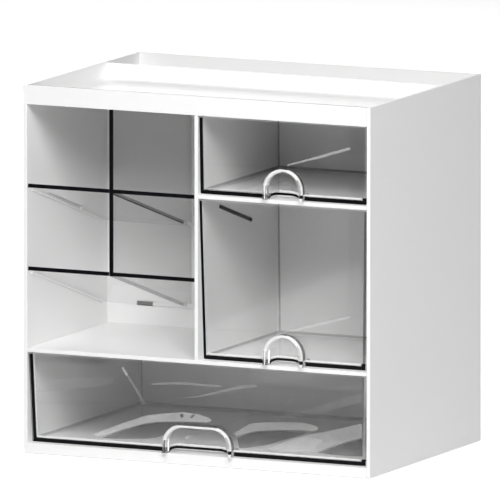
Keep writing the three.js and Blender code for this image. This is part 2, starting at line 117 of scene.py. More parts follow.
def moulded_white():
    material, tree, place = new_material("moulded_white")
    flow = noise(tree, place, PANEL_FLOW_SCALE, detail=2.0)
    grain = noise(tree, place, PANEL_GRAIN_SCALE, detail=3.0)
    shader = node(
        tree,
        "ShaderNodeBsdfPrincipled",
        Base_Color=colour_between(tree, flow, WHITE_SHADE, WHITE),
        Roughness=range_of(tree, flow, *WHITE_ROUGHNESS),
        Normal=bump(tree, grain, PANEL_GRAIN_BUMP, GRAIN_DEPTH),
        IOR=WHITE_IOR,
    )
    node(tree, "ShaderNodeOutputMaterial", Surface=shader.outputs["BSDF"])
    return material


def add_piece(name, bm, materials, body, slot, *nodes):
    mesh = bpy.data.meshes.new(name)
    bm.to_mesh(mesh)
    bm.free()
    piece = bpy.data.objects.new(name, mesh)
    bpy.context.scene.collection.objects.link(piece)
    for material in materials:
        mesh.materials.append(material)
    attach(piece, body)
    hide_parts(*nodes)
    return piece


def shade_round(piece, angle):
    """Edges flatter than the angle shade smooth, and flat faces stay flat."""
    piece.data.polygons.foreach_set("use_smooth", [True] * len(piece.data.polygons))
    piece.data.set_sharp_from_angle(angle=angle)
    weigh = piece.modifiers.new("flat faces stay flat", "WEIGHTED_NORMAL")
    weigh.keep_sharp = True


def rounded_copy(cad_node, edge_round, seams=()):
    """The solid of a CAD node with its outer edges rounded, apart from edges in a seam's plane."""
    bm = bmesh.new()
    bm.from_mesh(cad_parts[cad_node].data)
    bmesh.ops.remove_doubles(bm, verts=bm.verts, dist=WELD_WITHIN)
    bmesh.ops.dissolve_limit(bm, angle_limit=FLAT_WITHIN, verts=bm.verts, edges=bm.edges)
    chosen = []
    for edge in bm.edges:
        if len(edge.link_faces) != 2 or edge.calc_face_angle() < SHARP_FROM:
            continue
        ends = [vert.co for vert in edge.verts]
        in_seam = any(
            all(abs(abs(end[axis]) - abs(value)) < SEAM_NEAR for end in ends)
            for axis, value in seams
        )
        wide = all(face.calc_area() > WIDE_FACE for face in edge.link_faces)
        if wide and not in_seam and edge.calc_length() > LEAST_EDGE_IN_ROUNDS * edge_round:
            chosen.append(edge)
    bmesh.ops.bevel(
        bm, geom=chosen, offset=edge_round, segments=EDGE_ROUND_STEPS, profile=0.5,
        affect="EDGES", clamp_overlap=True,
    )
    return bm


white = moulded_white()


def add_white_panel(cad_node, seams=()):
    bm = rounded_copy(cad_node, PANEL_EDGE_ROUND, seams)
    piece = add_piece(f"{cad_node}_finish", bm, [white], "cabinet", "white_panel", cad_node)
    shade_round(piece, SMOOTH_BELOW)


for cad_node in ("left_side_panel", "right_side_panel"):
    add_white_panel(cad_node)


# Walls and floors
# Flat white mouldings with tongues at their ends, pushed into the side panels' grooves: the rear
# panel, the inner back wall, the partition, the deck, the drawer shelf, the base and the top tray.

side_seams = [(0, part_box("right_side_panel")[0].x - SEAM)]

for cad_node in (
    "rear_panel", "inner_back_wall", "partition_wall", "lower_deck", "drawer_shelf", "base_panel",
    "top_tray",
):
    add_white_panel(cad_node, side_seams)


# Tilted shelves and divider
# Clear sheets, sawn square. The shelves plug into slots by their tabs, and the divider laps over
# the upper shelf. Front edges and tab ends are painted black, a painted dark reflection standing in
# for the end of a thick clear sheet; the slots carry painted shade and a painted glint.

SHELF_TINT = (0.93, 0.93, 0.93)
DIVIDER_TINT = (0.87, 0.87, 0.87)
LIT_TINT = (0.99, 0.99, 0.99)
HAZE_SCALE = 60
HAZE_SHARE = 0.985
CLEAR_ROUGHNESS = (0.03, 0.07)
WAVE_SCALE = 14
WAVE_BUMP = 0.05
WAVE_DEPTH = 1.0 * MM
SHEET_GLOSS = 0.04
SLANT_GLOSS = 0.45
SLANT_POWER = 5.0
# Painted black for the ends of clear sheets and walls, with lighter painted streaks of glint.
EDGE_BLACK = (0.003, 0.003, 0.0035)
EDGE_STREAK_SHARE = 3.0
EDGE_STREAK_SCALE = 180
EDGE_ROUGHNESS = (0.08, 0.2)
EDGE_GLOSS = 0.08
EDGE_IOR = 1.35
# Colours of the milky painted highlights and painted reflections.
MILKY_SHADE = (0.92, 0.92, 0.92)
MILKY_WHITE = (0.98, 0.98, 0.98)
MILKY_STREAK_SCALE = 120
MILKY_ROUGHNESS = (0.1, 0.25)
SMOKY_STREAK_SCALE = 90
DIVIDER_EDGE_DEPTH = 1.1 * MM
SHELF_EDGE_DEPTH = 1.2 * MM
SHEET_EDGE_ROUND = 0.25 * MM
SPLIT_WITHIN = 0.001 * MM
SLOT_REACH = 4 * MM
TAB_END_DEPTH = 0.5 * MM
# How far a face is turned towards one axis, as a share of its normal.
TURNED = 0.5
MUCH_TURNED = 0.8
# A sheet's finishes: clear, painted black edge, painted shade and painted glint.
SHEET_CLEAR, SHEET_BLACK, SHEET_SHADE, SHEET_GLINT = range(4)


def combine(tree, operation, first, second):
    """Combines a linked value with another value, linked or fixed."""
    made = tree.nodes.new("ShaderNodeMath")
    made.operation = operation
    tree.links.new(first, made.inputs[0])
    if isinstance(second, bpy.types.NodeSocket):
        tree.links.new(second, made.inputs[1])
    else:
        made.inputs[1].default_value = second
    return made.outputs["Value"]


def mix_shaders(tree, share, first, second):
    """The first shader where the share is 0, and the second where it is 1."""
    mix = node(tree, "ShaderNodeMixShader", Fac=share)
    tree.links.new(first, mix.inputs[1])
    tree.links.new(second, mix.inputs[2])
    return mix.outputs["Shader"]


def clear_shader(tree, place, tint, lit_tint, square_on_gloss):
    """Clear plastic as a thin film: light passes straight through, with more gloss at a slant.

    The tint is what the eye looks through, and the lit tint is what light for shadows goes through.
    """
    haze = noise(tree, place, HAZE_SCALE, detail=3.0)
    wave = noise(tree, place, WAVE_SCALE, detail=1.0)
    panes = []
    for lightest in (tint, lit_tint):
        darker = tuple(HAZE_SHARE * share for share in lightest)
        colour = colour_between(tree, haze, darker, lightest)
        panes.append(node(tree, "ShaderNodeBsdfTransparent", Color=colour).outputs["BSDF"])
    shadow_ray = tree.nodes.new("ShaderNodeLightPath").outputs["Is Shadow Ray"]
    through = mix_shaders(tree, shadow_ray, *panes)
    gloss = node(
        tree,
        "ShaderNodeBsdfGlossy",
        Color=(1, 1, 1, 1),
        Roughness=range_of(tree, haze, *CLEAR_ROUGHNESS),
        Normal=bump(tree, wave, WAVE_BUMP, WAVE_DEPTH),
    )
    facing = node(tree, "ShaderNodeLayerWeight", Blend=0.5).outputs["Facing"]
    slant = combine(tree, "POWER", facing, SLANT_POWER)
    mirror = range_of(tree, slant, square_on_gloss, SLANT_GLOSS)
    inside = tree.nodes.new("ShaderNodeNewGeometry").outputs["Backfacing"]
    gloss_share = combine(tree, "MULTIPLY", mirror, range_of(tree, inside, 1.0, 0.0))
    return mix_shaders(tree, gloss_share, through, gloss.outputs["BSDF"])


def clear_sheet(name, tint):
    material, tree, place = new_material(name)
    shader = clear_shader(tree, place, tint, LIT_TINT, SHEET_GLOSS)
    node(tree, "ShaderNodeOutputMaterial", Surface=shader)
    return material


def dark_edge_paint():
    """Painted black with faint lighter painted streaks of glint, a painted dark reflection standing
    in for the end of a clear sheet. It throws no shadow.
    """
    material, tree, place = new_material("dark_edge_paint")
    streak = noise(tree, place, EDGE_STREAK_SCALE, detail=2.0)
    lighter = tuple(EDGE_STREAK_SHARE * share for share in EDGE_BLACK)
    black = node(
        tree,
        "ShaderNodeBsdfPrincipled",
        Base_Color=colour_between(tree, streak, EDGE_BLACK, lighter),
        Roughness=range_of(tree, streak, *EDGE_ROUGHNESS),
        IOR=EDGE_IOR,
        Specular_IOR_Level=EDGE_GLOSS,
    )
    shadow_ray = tree.nodes.new("ShaderNodeLightPath").outputs["Is Shadow Ray"]
    through = node(tree, "ShaderNodeBsdfTransparent")
    shader = mix_shaders(tree, shadow_ray, black.outputs["BSDF"], through.outputs["BSDF"])
    node(tree, "ShaderNodeOutputMaterial", Surface=shader)
    return material


def painted_highlight(name, low_share, high_share):
    """A see-through milky white for painted highlights and painted reflections in clear plastic,
    denser with a higher share.
    """
    material, tree, place = new_material(name)
    streak = noise(tree, place, MILKY_STREAK_SCALE, detail=2.0)
    through = node(tree, "ShaderNodeBsdfTransparent")
    milky = node(
        tree,
        "ShaderNodeBsdfPrincipled",
        Base_Color=colour_between(tree, streak, MILKY_SHADE, MILKY_WHITE),
        Roughness=range_of(tree, streak, *MILKY_ROUGHNESS),
    )
    share = range_of(tree, streak, low_share, high_share)
    shader = mix_shaders(tree, share, through.outputs["BSDF"], milky.outputs["BSDF"])
    node(tree, "ShaderNodeOutputMaterial", Surface=shader)
    return material


def painted_dimming(name, darkest, lightest):
    """The end of a wall or a cut through clear plastic, where the view is only dimmed: painted
    shade, also used for painted dark reflections.
    """
    material, tree, place = new_material(name)
    streak = noise(tree, place, SMOKY_STREAK_SCALE, detail=2.0)
    dim = colour_between(tree, streak, (darkest,) * 3, (lightest,) * 3)
    through = node(tree, "ShaderNodeBsdfTransparent", Color=dim)
    node(tree, "ShaderNodeOutputMaterial", Surface=through.outputs["BSDF"])
    return material


clear_shelf = clear_sheet("clear_shelf", SHELF_TINT)
clear_divider = clear_sheet("clear_divider", DIVIDER_TINT)
black_edge = dark_edge_paint()
# Painted shade in the shelves' slots, darker in the upper one, and milky painted highlight lines.
grey_slot_shade = painted_dimming("grey_slot_shade", darkest=0.5, lightest=0.65)
dark_slot_shade = painted_dimming("dark_slot_shade", darkest=0.12, lightest=0.22)
light_line = painted_highlight("light_line", low_share=0.6, high_share=0.85)


def split(bm, parts, place, direction):
    """Splits the given faces, edges and points of a mesh by a plane."""
    bmesh.ops.bisect_plane(bm, geom=parts, dist=SPLIT_WITHIN, plane_co=place, plane_no=direction)


def add_clear_sheet(cad_node, clear, cut, finish_of, dark_depth=0):
    """A clear sheet; finish_of picks a face's finish by its centre and normal."""
    bm = rounded_copy(cad_node, SHEET_EDGE_ROUND)
    if dark_depth:
        dark_end = (0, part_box(cad_node)[0].y + dark_depth, 0)
        split(bm, bm.verts[:] + bm.edges[:] + bm.faces[:], dark_end, (0, 1, 0))
    bm.normal_update()
    for face in bm.faces:
        face.material_index = finish_of(face.calc_center_median(), face.normal)
    finishes = [clear, black_edge, cut, light_line]
    piece = add_piece(f"{cad_node}_finish", bm, finishes, "cabinet", "clear_sheet", cad_node)
    shade_round(piece, SMOOTH_BELOW)


bay_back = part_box("inner_back_wall")[0].y
divider_low, divider_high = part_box("cell_divider")
slot_middle = (divider_low.x + divider_high.x) / 2


def shelf_finish_of(cad_node):
    """A shelf is painted black at its front and where its tab shows, with painted shade and a
    painted glint in its slot.
    """
    low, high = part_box(cad_node)

    def finish_of(centre, normal):
        if centre.y < low.y + SHELF_EDGE_DEPTH:
            return SHEET_BLACK
        if abs(centre.x - slot_middle) < SLOT_REACH and abs(normal.z) < TURNED:
            if abs(normal.x) > TURNED:
                return SHEET_SHADE if normal.x > 0 else SHEET_CLEAR
            return SHEET_GLINT
        if cad_node == "upper_tilted_shelf":
            tab = normal.x > MUCH_TURNED and centre.x > high.x - TAB_END_DEPTH
        else:
            tab = centre.y > bay_back and abs(normal.z) < MUCH_TURNED
        return SHEET_BLACK if tab else SHEET_CLEAR

    return finish_of


# The divider's front edge is painted black, like the shelves' front edges.
def divider_finish(centre, normal):
    return SHEET_BLACK if centre.y < divider_low.y + DIVIDER_EDGE_DEPTH else SHEET_CLEAR


for cad_node, cut in (("upper_tilted_shelf", dark_slot_shade), ("lower_tilted_shelf", grey_slot_shade)):
    add_clear_sheet(cad_node, clear_shelf, cut, shelf_finish_of(cad_node))
add_clear_sheet("cell_divider", clear_divider, grey_slot_shade, divider_finish, DIVIDER_EDGE_DEPTH)


# Drawer trays
# One clear moulding each, with drafted walls, rounded corners and a finger notch under the handle.
# Black lines are painted dark edges where walls are seen end on, and thin pale and smoky films are
# painted reflections of what each front mirrors; paler and smokier faces are painted highlights and
# shade.

TRAY_WALL = 2.2 * MM
TRAY_CORNER = 1.5 * MM
REAR_CORNER = 3.6 * MM
LEAST_CORNER = 0.5 * MM
TRAY_DRAFTS = {"top_drawer": 0.7, "middle_drawer": 1.2, "bottom_drawer": 1.8}
FOOT_ROUND = 0.8 * MM
RIM_ROUND = 0.5 * MM
FLOOR_FILLET = 1.6 * MM
CORNER_STEPS = 8
ROUND_STEPS = 4
NOTCH_HEIGHT = 3.2 * MM
NOTCH_SHOULDER = 8.5 * MM
NOTCH_DEPTH = 13 * MM
NOTCH_SIDE_GAP = 0.8 * MM
NOTCH_STEPS = 10
NOTCH_OVERRUN = 2 * MM
HANDLE_RIB = 3 * MM
# Widths of the painted black edge lines and the painted highlight lines round a tray's front.
FOOT_LINE = 2.4 * MM
FOOT_CORNER = 5.2 * MM
FOOT_NEAR = 0.2 * MM
NOTCH_LINE = 1.9 * MM
SIDE_LINES = {"top_drawer": 1.9 * MM, "middle_drawer": 1.3 * MM, "bottom_drawer": 2.7 * MM}
FAR_LINE = 1.1 * MM
LINE_GAP = 0.5 * MM
LIGHT_LINE = 1.4 * MM
LIGHT_SIDE_LINE = 0.5 * MM
LIGHT_FROM_ENDS = 10 * MM
LEFT_REACH = 5 * MM
RIGHT_REACH = 8 * MM
FAR_REACH = 4 * MM
FRONT_NEAR = 0.1 * MM
HOOD_NEAR = 0.3 * MM
TOP_NEAR = 0.05 * MM
MIDWAY = 0.5
STEEP = 4
STRAIGHT_ON = 0.98
# How far a face is turned towards one axis, as a share of its normal.
SQUARE_TO_FRONT = 0.99
BARELY_TURNED = 0.02
NEARLY_SQUARE = 0.998
FILLET_TILT = (0.08, 0.995)
CORNER_TILT = 0.1
UPRIGHT_TILT = 0.2
RIM_TILT = 0.3
HOOD_TILT = 0.9
FINE_SMOOTH_BELOW = math.radians(35)
SHEEN_DEPTH = 0.05 * MM
DRAWER_TINT = (0.981, 0.981, 0.981)
LIT_DRAWER_TINT = (0.99, 0.99, 0.99)
FRONT_GLOSS = 0.05
# A tray front's strips: clear, painted black edge, painted highlight.
CLEAR_ZONE, DARK_ZONE, LIGHT_ZONE = range(3)


def arc(start, end, steps):
    return [start + (end - start) * step / steps for step in range(steps + 1)]


def ring_points(half_x, y0, y1, front_radius, rear_radius, x, z):
    """A rounded rectangle, counter-clockwise from above."""
    corners = [
        (half_x - front_radius, y0 + front_radius, front_radius, -90),
        (half_x - rear_radius, y1 - rear_radius, rear_radius, 0),
        (rear_radius - half_x, y1 - rear_radius, rear_radius, 90),
        (front_radius - half_x, y0 + front_radius, front_radius, 180),
    ]
    return [
        Vector((x + cx + radius * math.cos(turn), cy + radius * math.sin(turn), z))
        for cx, cy, radius, start in corners
        for turn in arc(math.radians(start), math.radians(start + 90), CORNER_STEPS)
    ]


def loft(rings):
    """A closed skin through rings of points, with a flat face on the first and on the last."""
    bm = bmesh.new()
    rows = [[bm.verts.new(point) for point in ring] for ring in rings]
    count = len(rings[0])
    bm.faces.new(list(reversed(rows[0])))
    bm.faces.new(rows[-1])
    for below, above in zip(rows, rows[1:]):
        for k in range(count):
            after = (k + 1) % count
            bm.faces.new((below[k], below[after], above[after], above[k]))
    bmesh.ops.recalc_face_normals(bm, faces=bm.faces)
    return bm


def tray_skin(low, high, slope):
    """The tray's skin, up its outside, over its rim and down its inside to the floor."""
    height, centre = high.z - low.z, (low.x + high.x) / 2
    half_top = (high.x - low.x) / 2

    def ring(z, inset):
        draw = (height - z) * slope + inset
        radii = [max(radius - inset, LEAST_CORNER) for radius in (TRAY_CORNER, REAR_CORNER)]
        return ring_points(
            half_top - draw, low.y + draw, high.y - draw, *radii, centre, low.z + z
        )

    quarter = [(1 - math.sin(t), 1 - math.cos(t)) for t in arc(0, math.pi / 2, ROUND_STEPS)]
    rings = [ring(FOOT_ROUND * rise, FOOT_ROUND * inset) for rise, inset in reversed(quarter)]
    rings += [ring(height - RIM_ROUND * drop, RIM_ROUND * inset) for drop, inset in quarter]
    rings += [
        ring(height - RIM_ROUND * drop, TRAY_WALL - RIM_ROUND * inset)
        for drop, inset in reversed(quarter)
    ]
    rings += [
        ring(TRAY_WALL + FLOOR_FILLET * rise, TRAY_WALL + FLOOR_FILLET * inset)
        for rise, inset in quarter
    ]
    return loft(rings)


def notch_section(half, shoulder, height, foot):
    """The notch's flat-topped arc, seen from the front, from its foot's height upwards."""
    start = math.asin(max(foot, 0) / height)
    right = [
        (half - shoulder + shoulder * math.cos(t), height * math.sin(t))
        for t in arc(start, math.pi / 2, NOTCH_STEPS)
    ]
    if foot < 0:
        right.insert(0, (half, foot))
    return right + [(-x, z) for x, z in reversed(right)]


def prism(section, x, y0, y1, z):
    return loft([[Vector((x + u, y, z + v)) for u, v in section] for y in (y0, y1)])


def boolean(piece, bm, operation):
    mesh = bpy.data.meshes.new("tool")
    bm.to_mesh(mesh)
    bm.free()
    tool = bpy.data.objects.new("tool", mesh)
    bpy.context.scene.collection.objects.link(tool)
    step = piece.modifiers.new("boolean", "BOOLEAN")
    step.operation = operation
    step.solver = "EXACT"
    step.object = tool
    bpy.context.view_layer.update()
    changed = piece.evaluated_get(bpy.context.evaluated_depsgraph_get())
    made = bpy.data.meshes.new_from_object(changed)
    piece.modifiers.clear()
    was, piece.data = piece.data, made
    bpy.data.meshes.remove(was)
    bpy.data.objects.remove(tool)
    bpy.data.meshes.remove(mesh)


def cut_notch(tray, body, low, front_foot):
    """Adds the notch's hood inside the tray and cuts the notch out of it from below."""
    handle_low, handle_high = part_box(f"{body}_handle")
    half = (handle_high.x - handle_low.x) / 2 - HANDLE_RIB - NOTCH_SIDE_GAP
    centre = (handle_low.x + handle_high.x) / 2
    half_wall = TRAY_WALL / 2
    hood = notch_section(
        half + TRAY_WALL, NOTCH_SHOULDER + TRAY_WALL, NOTCH_HEIGHT + TRAY_WALL, half_wall
    )
    hood_end = front_foot + NOTCH_DEPTH + TRAY_WALL
    boolean(tray, prism(hood, centre, front_foot + half_wall, hood_end, low.z), "UNION")
    space = notch_section(half, NOTCH_SHOULDER, NOTCH_HEIGHT, -NOTCH_OVERRUN)
    space_start, space_end = low.y - NOTCH_OVERRUN, front_foot + NOTCH_DEPTH
    boolean(tray, prism(space, centre, space_start, space_end, low.z), "DIFFERENCE")


def add_edge_line(bm, face, width_of, top):
    """Splits a strip off a front face along its sides and foot. Returns the strip and the rest."""
    ring = list(face.verts)
    on_top = [vert.co.z > top - TOP_NEAR for vert in ring]
    start = next(k for k in range(len(ring)) if on_top[k] and not on_top[(k + 1) % len(ring)])
    ring = ring[start:] + ring[:start]
    count = next(k for k in range(1, len(ring)) if ring[k].co.z > top - TOP_NEAR) + 1
    path = ring[:count]
    normal = face.normal.copy()
    widths, inwards = [], []
    for first, second in zip(path, path[1:]):
        inwards.append(normal.cross(second.co - first.co).normalized())
        widths.append(width_of(first.co, second.co))
    before = ring[-1] if count < len(ring) else path[-1]
    inner = [bmesh.utils.edge_split(bm.edges.get((path[0], before)), path[0], MIDWAY)[1]]
    inner[0].co = path[0].co + inwards[0] * widths[0]
    for k in range(1, count - 1):
        one, two = inwards[k - 1], inwards[k]
        turn = one.dot(two)
        if turn > STRAIGHT_ON:
            step = (one + two).normalized() * (widths[k - 1] + widths[k]) / 2
        else:
            share = (widths[k] - turn * widths[k - 1]) / (1 - turn * turn)
            step = one * (widths[k - 1] - turn * share) + two * share
        inner.append(bm.verts.new(path[k].co + step))
    after = ring[count] if count < len(ring) else inner[0]
    inner.append(bmesh.utils.edge_split(bm.edges.get((path[-1], after)), path[-1], MIDWAY)[1])
    inner[-1].co = path[-1].co + inwards[-1] * widths[-1]
    bmesh.ops.delete(bm, geom=[face], context="FACES_ONLY")
    rest = bm.faces.new(inner + ring[count:])
    strip = [
        bm.faces.new((path[k], path[k + 1], inner[k + 1], inner[k])) for k in range(count - 1)
    ]
    bm.normal_update()
    return strip, rest


def clear_moulding():
    material, tree, place = new_material("clear_moulding")
    shader = clear_shader(tree, place, DRAWER_TINT, LIT_DRAWER_TINT, FRONT_GLOSS)
    node(tree, "ShaderNodeOutputMaterial", Surface=shader)
    return material


moulding = clear_moulding()
# Painted highlights, painted shade and painted reflections for the trays' fronts, corners and rims.
faint_line = painted_highlight("faint_line", low_share=0.12, high_share=0.3)
corner_shade_paint = painted_dimming("corner_shade_paint", darkest=0.5, lightest=0.66)
far_shade_line = painted_dimming("far_shade_line", darkest=0.36, lightest=0.5)
bright_sheen = painted_highlight("bright_sheen", low_share=0.26, high_share=0.42)
faint_sheen = painted_highlight("faint_sheen", low_share=0.09, high_share=0.16)
dark_reflection_film = painted_dimming("dark_reflection_film", darkest=0.4, lightest=0.5)
soft_sheen = painted_highlight("soft_sheen", low_share=0.03, high_share=0.06)

TRAY_FINISHES = [
    moulding, black_edge, light_line, faint_line, far_shade_line, corner_shade_paint, bright_sheen, faint_sheen,
    dark_reflection_film, soft_sheen,
]
(
    CLEAR, BLACK, LIGHT, FAINT, FAR, SMOKY, BRIGHT_SHEEN, FAINT_SHEEN, DARK_REFLECTION, SOFT_SHEEN,
) = range(len(TRAY_FINISHES))
# The painted finish of each front's rounded right edge above its black foot.
FAR_FINISHES = {"top_drawer": CLEAR, "middle_drawer": FAR, "bottom_drawer": FAINT}

# Each painted reflection film's finish, and its outline in mm: right from the cabinet's middle, up
# from the ground.
SHEENS = {
    "top_drawer": [
        (BRIGHT_SHEEN, [
            (74.2, 234.9), (102.4, 243.8), (126.4, 251.5), (127.6, 249.8), (103.2, 241.8),
            (74.7, 234.0),
        ]),
        (FAINT_SHEEN, [
            (70.0, 220.3), (71.3, 222.0), (74.2, 222.5), (76.8, 221.5), (76.3, 219.5),
            (73.0, 218.2), (70.5, 218.4),
        ]),
    ],
    "middle_drawer": [
        (FAINT, [
            (72.1, 107.4), (99.0, 115.4), (125.9, 122.7), (126.8, 121.0), (99.0, 113.1),
            (73.0, 106.2),
        ]),
        (FAINT_SHEEN, [
            (71.3, 92.1), (73.0, 94.0), (76.3, 94.6), (78.4, 93.3), (77.2, 91.2), (73.8, 90.3),
        ]),
    ],
    "bottom_drawer": [
        (DARK_REFLECTION, [
            (-15.6, 37.0), (-14.9, 38.6), (-13.4, 38.9), (-12.3, 37.7), (-12.6, 36.2),
            (-14.2, 35.6),
        ]),
        (DARK_REFLECTION, [
            (-6.9, 36.3), (-5.6, 38.0), (-3.6, 39.3), (-2.8, 38.6), (-4.2, 36.9), (-5.9, 35.8),
        ]),
        (BRIGHT_SHEEN, [
            (-89.3, 17.6), (-66.0, 27.2), (-44.5, 35.1), (-31.0, 37.6), (-13.0, 40.0),
            (0.4, 39.2), (9.3, 36.9), (11.2, 35.3), (8.5, 33.7), (-13.0, 32.8), (-35.5, 31.0),
            (-44.5, 29.2), (-62.4, 23.8), (-83.0, 16.2),
        ]),
        (FAINT, [
            (29.5, 26.5), (42.0, 34.4), (49.7, 36.2), (69.0, 37.9), (88.3, 38.7), (98.9, 36.8),
            (99.9, 34.6), (96.0, 32.5), (88.3, 32.9), (69.0, 32.1), (49.7, 30.1), (42.0, 28.1),
            (31.4, 24.5),
        ]),
        (FAINT, [
            (53.6, 16.5), (63.2, 20.3), (88.3, 29.4), (107.5, 33.4), (136.4, 41.4),
            (136.4, 30.7), (117.2, 24.3), (94.1, 16.2), (53.6, 15.6),
        ]),
        (DARK_REFLECTION, [
            (-81.7, 15.7), (-73.1, 18.9), (-60.6, 23.4), (-48.0, 27.8), (-35.5, 30.3),
            (-13.0, 31.9), (-22.9, 28.3), (-26.5, 22.3), (-35.5, 18.9), (-44.5, 17.3),
            (-62.4, 15.9), (-77.5, 15.3),
        ]),
        (DARK_REFLECTION, [
            (31.8, 23.2), (42.0, 27.2), (49.7, 29.2), (69.0, 31.1), (91.2, 31.2), (84.4, 28.6),
            (69.0, 23.6), (59.4, 20.3), (51.6, 18.4), (40.1, 16.2), (33.5, 15.6),
        ]),
        (FAINT, [(57.0, 15.6), (74.0, 22.8), (91.6, 28.4), (104.0, 26.5), (94.8, 17.4)]),
        (DARK_REFLECTION, [(98.6, 16.2), (117.2, 23.4), (136.4, 29.6), (136.4, 16.0), (117.2, 15.5)]),
        (FAINT_SHEEN, [
            (-13.9, 50.3), (1.5, 53.8), (20.9, 59.3), (35.1, 63.9), (48.6, 65.5), (49.4, 63.3),
            (36.0, 61.4), (20.9, 57.6), (1.5, 52.6),
        ]),
        (FAINT_SHEEN, [
            (-39.1, 60.6), (-17.6, 63.0), (18.3, 62.6), (18.3, 61.0), (-17.6, 61.0),
            (-38.8, 58.9),
        ]),
        (BRIGHT_SHEEN, [(-64.6, 70.6), (-62.9, 71.3), (-59.3, 66.0), (-60.9, 64.7)]),
        (FAINT_SHEEN, [(-61.0, 65.4), (-59.5, 66.5), (-44.5, 44.5), (-45.9, 43.0)]),
        (SOFT_SHEEN, [
            (65.4, 41.4), (102.4, 53.0), (136.9, 66.0), (136.9, 58.7), (104.1, 47.3),
            (77.2, 41.0),
        ]),
        (SOFT_SHEEN, [
            (-134.7, 55.8), (-103.6, 59.7), (-80.0, 62.4), (-67.4, 60.9), (-80.0, 55.4),
            (-103.6, 51.2), (-134.7, 46.6),
        ]),
        (BRIGHT_SHEEN, [
            (-12.4, 20.2), (-11.1, 21.8), (-8.1, 22.3), (-6.9, 21.3), (-8.6, 19.6), (-11.1, 19.2),
        ]),
    ],
}


def add_sheen(bm, finish, outline, layer, low, slope, height):
    """A thin film on the inner side of a tray's front, carrying a painted reflection of the studio.
    """
    rows = []
    for depth in (2 * layer + 1, 2 * layer + 2):
        row = []
        for x, z in outline:
            inner = low.y + (low.z + height - z * MM) * slope + TRAY_WALL + depth * SHEEN_DEPTH
            row.append(bm.verts.new((x * MM, inner, z * MM)))
        rows.append(row)
    near, far = rows
    faces = [bm.faces.new(near), bm.faces.new(list(reversed(far)))]
    for k in range(len(near)):
        after = (k + 1) % len(near)
        faces.append(bm.faces.new((near[k], far[k], far[after], near[after])))
    bmesh.ops.recalc_face_normals(bm, faces=faces)
    for face in faces:
        face.material_index = CLEAR
    faces[0].material_index = finish


def upright(first, second):
    return abs(second.z - first.z) > STEEP * abs(second.x - first.x)


def line_front(bm, body, low, high, front_foot):
    """Splits a painted black strip, a gap and a painted highlight strip off a tray's front. Returns
    the front's top.
    """
    front = max(
        (
            face for face in bm.faces
            if face.normal.y < -SQUARE_TO_FRONT
            and face.calc_center_median().y < front_foot + FRONT_NEAR
        ),
        key=lambda face: face.calc_area(),
    )
    edge_top = max(vert.co.z for vert in front.verts)

    def dark_width(first, second):
        if upright(first, second):
            return SIDE_LINES[body] if first.x < (low.x + high.x) / 2 else FAR_LINE
        on_foot = max(first.z, second.z) < low.z + FOOT_ROUND + FOOT_NEAR
        return FOOT_LINE if on_foot else NOTCH_LINE

    def gap_width(first, second):
        return LINE_GAP

    def light_width(first, second):
        return LIGHT_SIDE_LINE if upright(first, second) else LIGHT_LINE

    dark, rest = add_edge_line(bm, front, dark_width, edge_top)
    rest = add_edge_line(bm, rest, gap_width, edge_top)[1]
    light = add_edge_line(bm, rest, light_width, edge_top)[0]
    for face in bm.faces:
        face.material_index = CLEAR_ZONE
    for zone, strip in ((DARK_ZONE, dark), (LIGHT_ZONE, light)):
        for face in strip:
            face.material_index = zone
    return edge_top


def split_far_corner(bm, low, high):
    """Splits the front's right edge where its painted black foot line ends."""
    far_faces = [
        face for face in bm.faces
        if face.calc_center_median().x > high.x - FAR_REACH
        and face.normal.y < -BARELY_TURNED
        and abs(face.normal.z) < UPRIGHT_TILT
    ]
    around = {item for face in far_faces for item in (face, *face.edges, *face.verts)}
    split(bm, list(around), (0, 0, low.z + FOOT_CORNER), (0, 0, 1))
    bm.normal_update()


